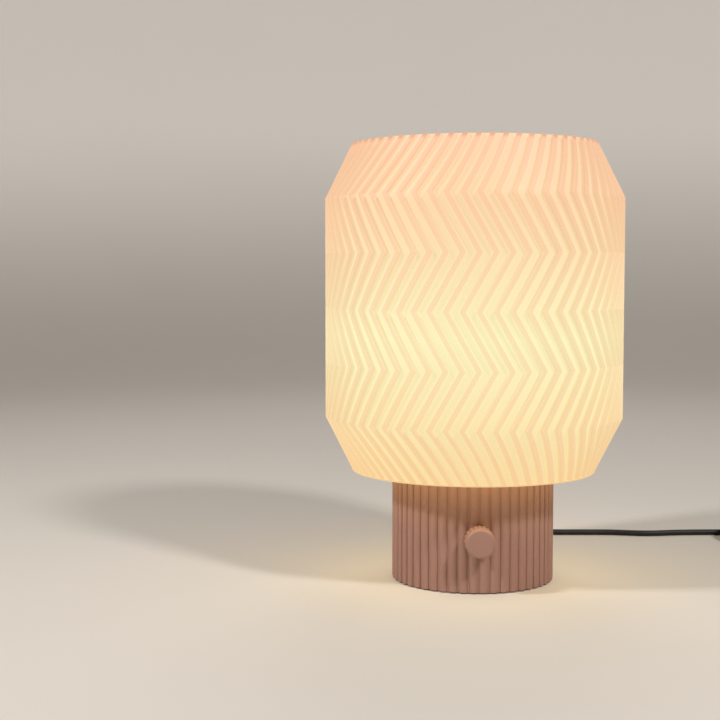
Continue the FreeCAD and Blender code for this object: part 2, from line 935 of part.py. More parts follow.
def report_tube(label, wire, shape, radius, radii=()):
    expected = math.pi * radius * radius * wire.Length
    tightest = "%.1f" % min(radii) if radii else "straight"
    line = "%s: length %.1f, tightest radius %s, volume %.4f of section x length"
    print(line % (label, wire.Length, tightest, shape.Volume / expected))


def lead(label, points, radius):
    wire, radii = rounded_route([Vector(*point) for point in points])
    shape = tube(wire, radius)
    report_tube(label, wire, shape, radius, radii)
    return formed(label, shape)


# ---------------------------------------------------------------- internal wiring

terminal_front, terminal_back = 4.0, 18.0
terminal_top = cover_top + 12
terminal_plinth = cover_top + 3
terminal_half = 11.0
tower_inner, tower_outer = 1.8, 9.2
terminal_way = 5.5            # how far each way is from the middle
terminal_ways = (-terminal_way, terminal_way)
terminal_screw_rows = (7.5, 14.5)
lead_radius = 1.0
block_middle = cover_top + 5
lead_level = block_middle.value


def make_terminal_block():
    """A two-way terminal block: a raised tower over each way, bored for two screws and the leads."""
    body = new_body("terminal_block")
    section = new_sketch(body, "section", "XZ_Plane", 0 - terminal_back)
    draw_outline(section, [
        (-terminal_half, cover_top),
        (terminal_half, cover_top),
        (terminal_half, terminal_plinth),
        (tower_outer, terminal_plinth),
        (tower_outer, terminal_top),
        (tower_inner, terminal_top),
        (tower_inner, terminal_plinth),
        (-tower_inner, terminal_plinth),
        (-tower_inner, terminal_top),
        (-tower_outer, terminal_top),
        (-tower_outer, terminal_plinth),
        (-terminal_half, terminal_plinth),
    ])
    pad(body, section, terminal_back - terminal_front, "section_pad")
    ways = new_sketch(body, "ways", "XZ_Plane", 0 - terminal_back)
    screws = new_sketch(body, "screw_wells", "XY_Plane", terminal_top)
    for x in terminal_ways:
        draw_circle(ways, lead_radius + 0.4, x, block_middle)
        for y in terminal_screw_rows:
            draw_circle(screws, 2.1, x, y)
    pocket(body, ways, terminal_back - terminal_front + 1, "ways_cut", forwards=True)
    pocket(body, screws, 4.2, "screw_wells_cut")
    return body


make_terminal_block()
terminal_screw = pan_screw(head_radius=1.9, shank_radius=1.2, head_height=1.2, length=2.2)
spread("terminal_screws", terminal_screw, [
    Placement(Vector(x, y, terminal_top.value - 2.0), Rotation())
    for x in terminal_ways for y in terminal_screw_rows
])

lead("lead_supply", [
    (-terminal_way, terminal_front, lead_level), (-terminal_way, -2, lead_level),
    (-8, -11, lead_level + 5), (-13, -20, 21), (-16.5, -27, 22), (-16.5, board_back, 22),
], lead_radius)
lead("lead_switched", [
    (16.5, board_back, 44), (16.5, board_back + 5, 44), (14, board_back + 12, 43),
    (8, -14, 40), (2.2, -5, 40), (1.2, -0.4, 45), (1.2, 0, 52),
], lead_radius)
lead("lead_neutral", [
    (terminal_way, terminal_front, lead_level), (terminal_way, -2, lead_level),
    (4.5, -8, lead_level + 6), (1, -9, 24), (-1.4, -5, 34), (-1.4, -1, 43), (-1.4, 0, 52),
], lead_radius)

relief_mouth = d.base_radius.value + d.relief_length.value
inner_end = 32.0
inlet = Part.makeCylinder(cord_radius.value, relief_mouth - inner_end,
                          Vector(0, inner_end, d.cord_height.value), Vector(0, 1, 0))
formed("cord_inlet", inlet)

core_offset = 1.15
bare_length = 4.0
cord_cores = []
for side in (-1, 1):
    core_wire, _ = rounded_route([
        Vector(side * core_offset, inner_end, d.cord_height.value),
        Vector(side * core_offset, inner_end - bare_length, d.cord_height.value),
        Vector(side * terminal_way, terminal_back + bare_length, lead_level),
        Vector(side * terminal_way, terminal_back, lead_level),
    ])
    cord_cores.append(tube(core_wire, lead_radius))
formed("cord_cores", Part.makeCompound(cord_cores))

clamp_y = 38.5
clamp_reach = 6.0
clamp_bottom = d.cord_height + cord_radius
clamp_thickness = 3.0
clamp_half = 3.0
post_bore = 1.2


def make_cord_clamp():
    """The bar that holds the cord down on its two posts, with rounded ends and two screw holes."""
    body = new_body("cord_clamp")
    plan = new_sketch(body, "plan", "XY_Plane", clamp_bottom)
    end_round = clamp_half + 0.001
    draw_outline(plan, [
        (-clamp_reach, clamp_y - clamp_half),
        (clamp_reach, clamp_y - clamp_half, end_round),
        (clamp_reach, clamp_y + clamp_half),
        (-clamp_reach, clamp_y + clamp_half, end_round),
    ])
    for side in (-1, 1):
        draw_circle(plan, post_bore + 0.1, side * clamp_reach, clamp_y)
    pad(body, plan, clamp_thickness, "plan_pad")
    return body


make_cord_clamp()
for side, name in ((-1, "left"), (1, "right")):
    ring("clamp_post_" + name, post_bore, clamp_half, 0, clamp_bottom - cover_top,
         Placement(Vector(side * clamp_reach, clamp_y, cover_top.value), Rotation()))
spread("clamp_screws", pan_screw(head_radius=2.4, shank_radius=1.15, head_height=1.6, length=9.0), [
    Placement(Vector(side * clamp_reach, clamp_y, clamp_bottom.value + clamp_thickness), Rotation())
    for side in (-1, 1)
])

def relief_section():
    """Half the section of the strain relief: a flange each side of the wall and a ribbed taper."""
    neck = cord_hole_radius - 0.1
    flange_start = 3.2
    taper_start, taper_end = 4.6, 3.1
    ribs, rib_pitch, groove, groove_depth = 6, 4.2, 1.7, 0.55
    length = d.relief_length.value
    corners = [
        (cord_radius, -6.4),
        (5.8, -6.4),
        (5.8, -4.8),
        (neck, -4.8),
        (neck, 0.1),
        (6.2, 0.1),
        (6.2, 2.2),
        (taper_start, flange_start),
    ]

    def taper(along):
        return taper_start + (taper_end - taper_start) * (along - flange_start) / (length - flange_start)

    for rib in range(ribs):
        start = flange_start + 1.5 + rib * rib_pitch
        end = start + groove
        corners += [
            (taper(start), start),
            (taper(start) - groove_depth, start + 0.3),
            (taper(end) - groove_depth, end - 0.3),
            (taper(end), end),
        ]
    return corners + [(taper_end, d.relief_length), (cord_radius, d.relief_length)]


turned("strain_relief", relief_section(), towards_back(d.base_radius.value, d.cord_height.value))


# ---------------------------------------------------------------- cord, coil and plug

# The middle of the cord, from the strain relief down to the table and along it to the coil.
run_points = [
    (0, relief_mouth, 10.0),
    (0, 96, 10.0),
    (0.6, 108, 6.0),
    (3.4, 121, 2.4),
    (11, 133, 2.2),
    (23, 141.5, 2.2),
    (38, 146.4, 2.2),
    (60, 147.8, 2.2),
    (92, 147.2, 2.2),
    (120, 147.6, 2.2),
    (136, 143.8, 2.2),
    (152, 141.9, 2.2),
    (168, 145.2, 2.2),
    (190, 147.2, 2.2),
]
coil_turns = 9.25
coil_layer_turns = 2.25
coil_layers = 4
coil_quarters = int(coil_turns * 4)
coil_pitch = d.cord_diameter.value + d.coil_gap.value
coil_centre_x = 239.0
coil_entry_y = 147.4
coil_floor = cord_radius.value


def coil_middle_radius(coil_length):
    """The radius half way through the winding at which the wound cord has its length."""
    radius = coil_length / (2 * math.pi * coil_turns)
    spare = coil_length - coil_wire(Vector(0, 0, 0), radius).Length
    return radius + spare / (2 * math.pi * coil_turns)


def coil_knot(quarter, middle_radius):
    """Place and direction of the cord's middle at a quarter turn of the coil.

    The cord winds clockwise as seen from above. It spirals in for a layer and out for the next at
    a steady rate, and climbs to the next layer in the half turn where it reverses.
    """
    turns = quarter / 4.0
    layer = min(int(turns / coil_layer_turns), coil_layers - 1)
    along = turns - layer * coil_layer_turns
    half_swing = coil_pitch * coil_layer_turns / 2
    inward = layer % 2 == 0
    radius = middle_radius + (half_swing - coil_pitch * along) * (1 if inward else -1)
    rate = coil_pitch / (2 * math.pi) * (-1 if inward else 1)
    level = float(layer)
    rise = 0.0
    if abs(along) < 1e-9 and layer > 0:
        level -= 0.5
        rise = 1.5 * coil_pitch / math.pi
        rate = 0.0
    if quarter in (0, coil_quarters):
        rate = 0.0
    angle = math.pi / 2 - 2 * math.pi * turns
    outward = Vector(math.cos(angle), math.sin(angle), 0)
    onward = Vector(math.sin(angle), -math.cos(angle), 0)
    place = outward * radius + Vector(0, 0, coil_floor + coil_pitch * level)
    direction = (onward * radius + outward * rate + Vector(0, 0, rise)).normalize()
    return place, direction


def arc_from(start, direction, end):
    """The arc that leaves start in a direction and passes through end."""
    chord = end - start
    half = direction.getAngle(chord)
    if half < 1e-7:
        return Part.LineSegment(start, end).toShape()
    sideways = (direction - chord * (direction.dot(chord) / chord.dot(chord))).normalize()
    middle = (start + end) / 2 + sideways * (chord.Length / 2 * math.tan(half / 2))
    return Part.Arc(start, middle, end).toShape()


def biarc(start, start_direction, end, end_direction):
    """Two tangent arcs between two places and directions."""
    gap = end - start
    total = start_direction + end_direction
    spread_out = 2 * (1 - start_direction.dot(end_direction))
    along = gap.dot(total)
    reach = (-along + math.sqrt(along * along + spread_out * gap.dot(gap))) / spread_out
    joint = (start + end + (start_direction - end_direction) * reach) / 2
    back = arc_from(end, end_direction * -1, joint)
    forward = arc_from(start, start_direction, joint)
    return [forward, reverse_edge(back)]


def reverse_edge(edge):
    """The same arc run the other way."""
    middle = edge.valueAt((edge.FirstParameter + edge.LastParameter) / 2)
    return Part.Arc(edge.valueAt(edge.LastParameter), middle, edge.valueAt(edge.FirstParameter)).toShape()


def coil_wire(centre, middle_radius):
    knots = [coil_knot(quarter, middle_radius) for quarter in range(coil_quarters + 1)]
    knots = [(place + centre, direction) for place, direction in knots]
    straight = d.cord_diameter.value
    first, last = knots[0], knots[-1]
    edges = [Part.LineSegment(first[0] - first[1] * straight, first[0]).toShape()]
    for before, after in zip(knots, knots[1:]):
        edges += biarc(*before, *after)
    edges.append(Part.LineSegment(last[0], last[0] + last[1] * straight).toShape())
    return Part.Wire(edges)


def least_gap(wire, diameter):
    """The least distance between parts of a tube's own surface, measured on points of its middle."""
    step = diameter / 4
    points = wire.discretize(int(wire.Length / step))
    apart = int(2.5 * diameter / step)
    least = 1e9
    for index, point in enumerate(points):
        for other in points[index + apart:]:
            least = min(least, point.distanceToPoint(other))
    return least - diameter


run_places = [Vector(*point) for point in run_points]
run_places.append(Vector(214, coil_entry_y, coil_floor))
run_places.append(Vector(coil_centre_x - d.cord_diameter.value, coil_entry_y, coil_floor))
run_wire, run_radii = rounded_route(run_places)
run_tube = tube(run_wire, cord_radius.value)
formed("cord_run", run_tube)
report_tube("cord_run", run_wire, run_tube, cord_radius.value, run_radii)

tail_length = 49.6
coil_length = d.cord_length.value - run_wire.Length - tail_length
middle_radius = coil_middle_radius(coil_length)
outer_radius = coil_knot(0, middle_radius)[0].y
coil_centre = Vector(coil_centre_x, coil_entry_y - outer_radius, 0)
wound = coil_wire(coil_centre, middle_radius)
coil_tube = tube(wound, cord_radius.value)
formed("cord_coil", coil_tube)
report_tube("cord_coil", wound, coil_tube, cord_radius.value, [middle_radius])
print("coil: %.1f diameters across, least gap %.2f" % (
    2 * middle_radius / d.cord_diameter.value, least_gap(wound, d.cord_diameter.value)))

coil_last = wound.Edges[-1]
tail_start = coil_last.valueAt(coil_last.LastParameter)
plug_height = d.plug_thickness.value / 2
tail_points = [
    tail_start,
    tail_start + Vector(0, -10, 0),
    tail_start + Vector(0, -23, -4.4),
    Vector(tail_start.x, tail_start.y - 37, plug_height),
    Vector(tail_start.x, tail_start.y - 48, plug_height),
]
tail_wire, tail_radii = rounded_route(tail_points)
tail_tube = tube(tail_wire, cord_radius.value)
formed("cord_tail", tail_tube)
report_tube("cord_tail", tail_wire, tail_tube, cord_radius.value, tail_radii)
print("whole cord: %.1f" % (run_wire.Length + wound.Length + tail_wire.Length))


def make_plug():
    """A flat two-pin plug body: a lofted hexagonal shell with a tapered sleeve for the cord."""
    body = new_body("plug_body")

    def hexagon(name, offset, half_width, slope, half_thickness):
        sketch = new_sketch(body, name, "XZ_Plane", offset)
        flat = half_width - slope
        draw_outline(sketch, [
            (0 - half_width, 0),
            (0 - flat, 0 - half_thickness),
            (flat, 0 - half_thickness),
            (half_width, 0),
            (flat, half_thickness),
            (0 - flat, half_thickness),
        ])
        return sketch

    half_thickness = d.plug_thickness / 2
    face = hexagon("face", 0, d.plug_width / 2, 4, half_thickness)
    neck = hexagon("neck", 0 - d.plug_length * 0.55, as_size(8), 2, half_thickness - 0.6)
    loft = body.newObject("PartDesign::AdditiveLoft", "plug_body_loft")
    loft.Profile = face
    loft.Sections = [neck]
    loft.Ruled = True
    sleeve = new_sketch(body, "sleeve", "XY_Plane")
    draw_outline(sleeve, [
        (0, d.plug_length * 0.5),
        (4.6, d.plug_length * 0.5),
        (4.2, d.plug_length * 0.7),
        (3.2, d.plug_length),
        (0, d.plug_length),
    ])
    turn = body.newObject("PartDesign::Revolution", "plug_body_sleeve_turn")
    turn.Profile = sleeve
    turn.ReferenceAxis = (sleeve, ["V_Axis"])
    turn.Angle = 360
    return body


tail_end = tail_points[-1]
plug_face = tail_end - Vector(0, d.plug_length.value, 0)
make_plug().Placement = Placement(plug_face, Rotation())


def plug_pin():
    """One pin: a sleeved root and a bare, rounded end."""
    radius, length = d.pin_radius.value, d.pin_length.value
    sleeve_length = 10.0
    root = Part.makeCylinder(radius - 0.1, sleeve_length)
    end = Part.makeCylinder(radius, length - sleeve_length, Vector(0, 0, sleeve_length))
    end = end.makeFillet(1.2, [end.Edges[0]])
    return root.fuse(end).removeSplitter()


pin_offset = Vector(d.pin_spacing.value / 2, 0, 0)
pin_turn = Rotation(Vector(1, 0, 0), 90)
spread("plug_pins", plug_pin(), [
    Placement(plug_face - pin_offset, pin_turn),
    Placement(plug_face + pin_offset, pin_turn),
])


# ---------------------------------------------------------------- checks and files

doc.recompute()
faults = []
for thing in doc.Objects:
    if "Invalid" in thing.State or "Error" in thing.State:
        faults.append("%s is %s" % (thing.Name, thing.State))
for node in nodes:
    if node.Shape.isNull() or not node.Shape.isValid() or node.Shape.Volume <= 0:
        faults.append("%s has no valid solid" % node.Label)
if faults:
    raise SystemExit("\n".join(faults))
for node in nodes:
    node.Shape.exportStep("parts/%s.step" % node.Label)
print("%d nodes written" % len(nodes))
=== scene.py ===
import math

import bmesh
import bpy
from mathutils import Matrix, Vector


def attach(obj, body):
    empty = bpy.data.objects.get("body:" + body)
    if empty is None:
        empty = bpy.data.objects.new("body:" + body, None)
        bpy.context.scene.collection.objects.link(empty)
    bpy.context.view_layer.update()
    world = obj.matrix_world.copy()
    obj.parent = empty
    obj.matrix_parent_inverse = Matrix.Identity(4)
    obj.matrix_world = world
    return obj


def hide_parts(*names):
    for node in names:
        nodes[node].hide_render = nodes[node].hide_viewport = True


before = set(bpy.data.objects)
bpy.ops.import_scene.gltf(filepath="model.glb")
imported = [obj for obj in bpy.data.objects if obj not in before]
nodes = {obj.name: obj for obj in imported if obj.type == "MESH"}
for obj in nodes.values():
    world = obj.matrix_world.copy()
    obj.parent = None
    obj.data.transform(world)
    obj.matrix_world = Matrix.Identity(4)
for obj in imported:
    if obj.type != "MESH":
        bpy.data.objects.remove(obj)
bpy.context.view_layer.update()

# A table lamp with a glowing pleated shade on a reeded base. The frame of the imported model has
# its origin in the middle of the base on the table, with +Z up and the knob facing -Y. Sizes of
# the lamp are in millimetres. Camera, stage and lamps are in metres.

MM = 0.001


def placed(name, data):
    """A new object in the scene that holds the given data."""
    made = bpy.data.objects.new(name, data)
    bpy.context.scene.collection.objects.link(made)
    return made


def metres(place):
    return [size * MM for size in place]


# ---------------------------------------------------------------- camera

CAMERA_PLACE = (-0.07665, -0.9364, 0.20945)
CAMERA_DOWN = 3.75        # degrees below the horizon
CAMERA_LENS = 69.29
SENSOR_WIDTH = 36.0


def make_camera():
    """The camera that was fitted to the photo."""
    data = bpy.data.cameras.new("photo_view")
    data.sensor_width = SENSOR_WIDTH
    data.lens = CAMERA_LENS
    camera = placed("photo_view", data)
    camera.location = CAMERA_PLACE
    camera.rotation_euler = (math.radians(90 - CAMERA_DOWN), 0, 0)
    bpy.context.scene.camera = camera


make_camera()


# ---------------------------------------------------------------- node trees as expressions

class Flow:
    """One socket of a node tree. A sum written on it adds its Math nodes to the tree."""

    def __init__(self, graph, socket):
        self.graph = graph
        self.socket = socket

    def math(self, operation, *terms):
        return self.graph.node("ShaderNodeMath", {"operation": operation}, dict(enumerate(terms)))

    def __add__(self, other):
        return self.math("ADD", self, other)

    def __radd__(self, other):
        return self.math("ADD", other, self)

    def __sub__(self, other):
        return self.math("SUBTRACT", self, other)

    def __rsub__(self, other):
        return self.math("SUBTRACT", other, self)

    def __mul__(self, other):
        return self.math("MULTIPLY", self, other)

    def __rmul__(self, other):
        return self.math("MULTIPLY", other, self)

    def __truediv__(self, other):
        return self.math("DIVIDE", self, other)

    def __rtruediv__(self, other):
        return self.math("DIVIDE", other, self)

    def __mod__(self, other):
        return self.math("FLOORED_MODULO", self, other)

    def __gt__(self, other):
        return self.math("GREATER_THAN", self, other)

    def __lt__(self, other):
        return self.math("LESS_THAN", self, other)

    def least(self, other):
        return self.math("MINIMUM", self, other)

    def floor(self):
        return self.math("FLOOR", self)

    def sine(self):
        return self.math("SINE", self)

    def cosine(self):
        return self.math("COSINE", self)

    def to_and_fro(self):
        """Rises from 0 to 1 and falls back to 0, again and again."""
        return self.math("PINGPONG", self, 1.0)

    def within(self, low, high):
        """1 between low and high and 0 elsewhere."""
        return (self > low) * (self < high)

    def between(self, low, high, smooth=False):
        """0 below low, 1 above high and an even or a smooth rise between them."""
        kind = "SMOOTHSTEP" if smooth else "LINEAR"
        limits = {"Value": self, "From Min": low, "From Max": high, "To Min": 0.0, "To Max": 1.0}
        return self.graph.node("ShaderNodeMapRange", {"interpolation_type": kind}, limits)


class Graph:
    """A shader or geometry node tree that is written as expressions."""

    def __init__(self, tree):
        self.tree = tree

    def node(self, kind, settings=None, sockets=None, out=0):
        made = self.tree.nodes.new(kind)
        for name, value in (settings or {}).items():
            if name == "stops":
                set_stops(made.color_ramp, value)
            else:
                setattr(made, name, value)
        for key, value in (sockets or {}).items():
            self.fill(find_socket(made.inputs, key), value)
        return Flow(self, find_socket(made.outputs, out))

    def fill(self, entry, value):
        """Gives an input socket a link or a constant."""
        if isinstance(value, Flow):
            self.tree.links.new(value.socket, entry)
        else:
            entry.default_value = value

    def mix(self, share, first, second, blend="MIX"):
        """A colour between two, or their product and so on with another blend."""
        settings = {"data_type": "RGBA", "blend_type": blend}
        entries = {"Factor_Float": share, "A_Color": first, "B_Color": second}
        return self.node("ShaderNodeMix", settings, entries, "Result_Color")

    def vector(self, operation, first, second):
        return self.node("ShaderNodeVectorMath", {"operation": operation}, {0: first, 1: second})


def find_socket(sockets, key):
    """A socket by its place, its identifier or its name."""
    if isinstance(key, int):
        return sockets[key]
    for socket in sockets:
        if socket.identifier == key:
            return socket
    return sockets[key]


def set_stops(ramp, stops):
    for index, (place, colour) in enumerate(stops):
        element = ramp.elements[index] if index < 2 else ramp.elements.new(place)
        element.position = place
        element.color = colour


def paint(red, green, blue):
    """The linear colour of a paint whose 8-bit screen values are given."""
    def linear(value):
        share = value / 255
        return share / 12.92 if share <= 0.04045 else ((share + 0.055) / 1.055) ** 2.4
    return (linear(red), linear(green), linear(blue), 1.0)


def toned(colour, share):
    """A darker or lighter tone of a colour: its light times the share."""
    return tuple(channel * share for channel in colour[:3]) + (1.0,)


# ---------------------------------------------------------------- cord

CORD_DIAMETER = 4.4
CORD_PITCH = 4.9          # from one turn or layer of the coil to the next
CORD_EXIT = (0, 84.6, 10)
COIL_CENTRE = (239.0, 116.915)
COIL_MIDDLE = 24.972      # radius of the middle of a layer
COIL_LAYERS = 4
COIL_LAYER_TURNS = 2.25
COIL_TURNS = 9.25
COIL_STEPS = 16           # points to a turn
COIL_CLIMB = 0.5          # the part of a turn in which the cord climbs to the next layer

CORD_START = [
    CORD_EXIT, (0, 96, 10), (0.6, 108, 6.0), (3.4, 121, 2.4), (11, 133, 2.2), (23, 141.5, 2.2),
    (38, 146.4, 2.2), (60, 147.8, 2.2), (92, 147.2, 2.2), (120, 147.6, 2.2), (136, 143.8, 2.2),
    (152, 141.9, 2.2), (168, 145.2, 2.2), (190, 147.2, 2.2), (214, 147.4, 2.2), (234.6, 147.4, 2.2),
]
CORD_END = [
    (270.71, 112.515, 16.9), (270.71, 102.515, 16.9), (270.71, 89.515, 12.5),
    (270.71, 75.515, 6.9), (270.71, 64.515, 6.9),
]


def coil_level(turns):
    """The number of layers that the cord has climbed after so many turns."""
    level = 0.0
    for climb in range(1, COIL_LAYERS):
        share = (turns - climb * COIL_LAYER_TURNS) / COIL_CLIMB + 0.5
        share = min(max(share, 0.0), 1.0)
        level += share * share * (3 - 2 * share)
    return level


def coil_points():
    """The wound cord: layers that spiral in and out again, each on the one below.

    A smooth line through control points on a circle runs a little inside it, so they stand out
    by that much.
    """
    outset = 1 / math.cos(math.pi / COIL_STEPS)
    half_swing = CORD_PITCH * COIL_LAYER_TURNS / 2
    points = []
    for step in range(1, int(COIL_TURNS * COIL_STEPS)):
        turns = step / COIL_STEPS
        layer = min(int(turns / COIL_LAYER_TURNS), COIL_LAYERS - 1)
        along = turns - layer * COIL_LAYER_TURNS
        inward = 1 if layer % 2 == 0 else -1
        radius = (COIL_MIDDLE + inward * (half_swing - CORD_PITCH * along)) * outset
        angle = math.pi / 2 - 2 * math.pi * turns
        points.append((
            COIL_CENTRE[0] + radius * math.cos(angle),
            COIL_CENTRE[1] + radius * math.sin(angle),
            CORD_DIAMETER / 2 + CORD_PITCH * coil_level(turns),
        ))
    return points


def make_cord():
    """The whole cord as one round tube along its route."""
    curve = bpy.data.curves.new("mains_cord", "CURVE")
    curve.dimensions = "3D"
    curve.bevel_depth = 1.0
    curve.bevel_resolution = 5
    curve.resolution_u = 8
    curve.use_fill_caps = True
    spline = curve.splines.new("NURBS")
    places = CORD_START + coil_points() + CORD_END
    spline.points.add(len(places) - 1)
    for point, place in zip(spline.points, places):
        point.co = metres(place) + [1.0]
        point.radius = CORD_DIAMETER / 2 * MM
    spline.order_u = 3
    spline.use_endpoint_u = True
    cord = placed("mains_cord", curve)
    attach(cord, "base")
    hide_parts("cord_run", "cord_coil", "cord_tail")
    metres(CORD_EXIT)
    return cord


cord = make_cord()


# ---------------------------------------------------------------- finishes

def new_finish(name):
    """A material with its graph and its shader node, which is linked to the output."""
    material = bpy.data.materials.new(name)
    material.use_nodes = True
    tree = material.node_tree
    tree.nodes.clear()
    shader = tree.nodes.new("ShaderNodeBsdfPrincipled")
    output = tree.nodes.new("ShaderNodeOutputMaterial")
    tree.links.new(shader.outputs["BSDF"], output.inputs["Surface"])
    return material, Graph(tree), shader


def feed(graph, shader, **values):
    """Sets the shader's sockets, named with _ for a space, to constants or links."""
    for name, value in values.items():
        graph.fill(shader.inputs[name.replace("_", " ")], value)


def place_of(graph):
    return graph.node("ShaderNodeTexCoord", out="Object")


def coordinate(graph, axis):
    """The X, Y or Z of the piece's own coordinates, in metres."""
    return graph.node("ShaderNodeSeparateXYZ", {}, {0: place_of(graph)}, axis)


def noise(graph, size, detail=2.0, stretch=(1, 1, 1)):
    """Noise whose grains are about the given size in millimetres, drawn out by stretch."""
    place = graph.vector("DIVIDE", place_of(graph), stretch)
    entries = {"Vector": place, "Scale": 1 / (size * MM), "Detail": detail}
    return graph.node("ShaderNodeTexNoise", {}, entries)


def bump(graph, height, depth):
    """A bump of the given depth in millimetres from a height of 0 to 1."""
    entries = {"Height": height, "Distance": depth * MM, "Strength": 1.0}
    return graph.node("ShaderNodeBump", {}, entries, "Normal")


def varied(graph, share, colour, low, high):
    """Tones of one colour, from low to high as the share goes from 0 to 1."""
    return graph.mix(share, toned(colour, low), toned(colour, high))


PLAIN_CLOUD = 12          # grains to a cloud of a plain finish
PLAIN_GLOSS_SWING = 0.15


def plain_finish(name, colour, rough, size=1.5, mottle=0.12, depth=0.02):
    """A finish with a fine grain in its colour, its gloss and its surface."""
    material, graph, shader = new_finish(name)
    grain = noise(graph, size)
    cloud = noise(graph, size * PLAIN_CLOUD, 1.0)
    colour = varied(graph, grain * 0.6 + cloud * 0.4, colour, 1 - mottle, 1 + mottle)
    feed(graph, shader, Base_Color=colour, Roughness=rough + (grain - 0.5) * PLAIN_GLOSS_SWING,
         Normal=bump(graph, grain, depth))
    return material


SHADE_LOW = 74.0
SHADE_HIGH = 293.0
FLOOR_UNDERSIDE = 74.05   # of the plate that closes the foot of the shade
FLOOR_BEVEL = 0.3
FLOOR_SEAT = 74.85        # where the wall stands on that plate
DISC_BACK = 290.6         # of the disc that closes the top
DISC_FACE = 292.4
DISC_EDGE_SHARE = 0.76    # how much of the edges' painted shade the disc's sloping edge takes
FACE_SLACK = 0.01         # how far from a flat face still counts as on it
LID_RING = 2.2            # millimetres to each radian of the faint rings on both
WAVE_RADIANS = 20         # radians that a wave node gives to each unit

# The glow of the shade from its floor to its top, as screen colours.
GLOW = [
    (0.0, paint(254, 227, 170)),
    (0.22, paint(254, 237, 185)),
    (0.42, paint(254, 247, 197)),
    (0.66, paint(254, 230, 184)),
    (0.80, paint(254, 222, 178)),
    (1.0, paint(254, 216, 178)),
]
GLOW_STRENGTH = 0.78
GLOW_BODY = (0.22,) * 3   # share of the glow's colour that the unlit plastic has
UNDERSIDE_GLOW = (2.3, 1.70, 0.55, 1.0)     # what the floor throws on the base below it
LIT_GRAIN = 1.1
LIT_GRAIN_DEPTH = 0.015

# Painted shade on the glow: darker along the ridges, on their flanks and at the ridge tips under the top
# rim. The ridge's tone also marks the faint rings on the lids.
RIDGE_SHADE_AND_RING_TONE = (0.98, 0.86, 0.855, 1.0)
FLANK_SHADE = (0.95, 0.88, 0.84, 1.0)
TIP_SHADE = (0.80, 0.66, 0.62, 1.0)
TIP_START = 3.5           # below the top, where the ridges start to take the painted shade at their tips
TIP_FULL = 0.5
CLOUD_TINT = (0.99, 0.95, 0.92, 1.0)
# Painted shade on the floor and the top disc: darker edges, and a dimmer glow on their flat faces.
EDGE_SHADE = (0.90, 0.76, 0.66, 1.0)
FACE_SHADE = (0.95, 0.92, 0.92, 1.0)


def shade_glow(graph):
    """The colour of the lit plastic by its height, and the height in millimetres."""
    height = coordinate(graph, "Z") / MM
    share = height.between(SHADE_LOW, SHADE_HIGH)
    return graph.node("ShaderNodeValToRGB", {"stops": GLOW}, {0: share}), height


def feed_lit_plastic(graph, shader, lit, shown, grain):
    """Feeds a plastic of the colour lit, which shines with the colour shown."""
    feed(graph, shader, Base_Color=graph.vector("MULTIPLY", lit, GLOW_BODY), Emission_Color=shown,
         Emission_Strength=GLOW_STRENGTH, Roughness=0.5 + grain * 0.12,
         Normal=bump(graph, grain, LIT_GRAIN_DEPTH))


def shade_finish():
    """Translucent plastic lit from inside, with painted shade on the ridges, their flanks and tips."""
    material, graph, shader = new_finish("shade_plastic")
    glow, height = shade_glow(graph)
    relief = graph.node("ShaderNodeAttribute", {"attribute_name": "relief"}, {}, "Fac")
    ridge = relief.between(0.5, 0.95, smooth=True)
    flank = (relief * (1 - relief) * 4).between(0.2, 0.9, smooth=True)
    tip = height.between(SHADE_HIGH - TIP_START, SHADE_HIGH - TIP_FULL, smooth=True) * ridge
    cloud = noise(graph, 28)
    grain = noise(graph, LIT_GRAIN, stretch=(1, 1, 0.5))
    # painted shade along the ridges, on their flanks and at their tips
    lit = graph.mix(ridge, glow, RIDGE_SHADE_AND_RING_TONE, "MULTIPLY")
    lit = graph.mix(flank, lit, FLANK_SHADE, "MULTIPLY")
    lit = graph.mix(tip * 0.8, lit, TIP_SHADE, "MULTIPLY")
    lit = graph.mix(cloud.between(0.35, 0.75) * 0.25, lit, CLOUD_TINT, "MULTIPLY")
    feed_lit_plastic(graph, shader, lit, lit, grain)
    return material


def lid_finish():
    """The floor and top disc of the shade: the same plastic, smooth and lit from inside."""
    material, graph, shader = new_finish("shade_lid_plastic")
    glow, height = shade_glow(graph)
    grain = noise(graph, LIT_GRAIN)
    rings = graph.node("ShaderNodeTexWave", {"wave_type": "RINGS", "rings_direction": "Z"}, {
        "Vector": place_of(graph),
        "Scale": 1 / (LID_RING * MM) / WAVE_RADIANS,
        "Distortion": 0.4,
    })
    underside = height < FLOOR_UNDERSIDE + FACE_SLACK
    floor_edge = height.within(FLOOR_UNDERSIDE + FLOOR_BEVEL, FLOOR_SEAT - FACE_SLACK)
    disc_edge = height.within(DISC_BACK + FACE_SLACK, DISC_FACE - FACE_SLACK)
    face = (height > FLOOR_SEAT - FACE_SLACK) * (1 - disc_edge)
    lit = graph.mix(rings * 0.18, glow, RIDGE_SHADE_AND_RING_TONE, "MULTIPLY")
    # painted shade on the edges, then on the flat faces
    lit = graph.mix(floor_edge + disc_edge * DISC_EDGE_SHARE, lit, EDGE_SHADE, "MULTIPLY")
    lit = graph.mix(face, lit, FACE_SHADE, "MULTIPLY")
    shown = graph.mix(underside, lit, UNDERSIDE_GLOW)
    feed_lit_plastic(graph, shader, lit, shown, grain)
    return material


BASE_PAINT = paint(166, 126, 113)
REED_STREAK = 14          # how many times longer than wide the streaks along the reeds are


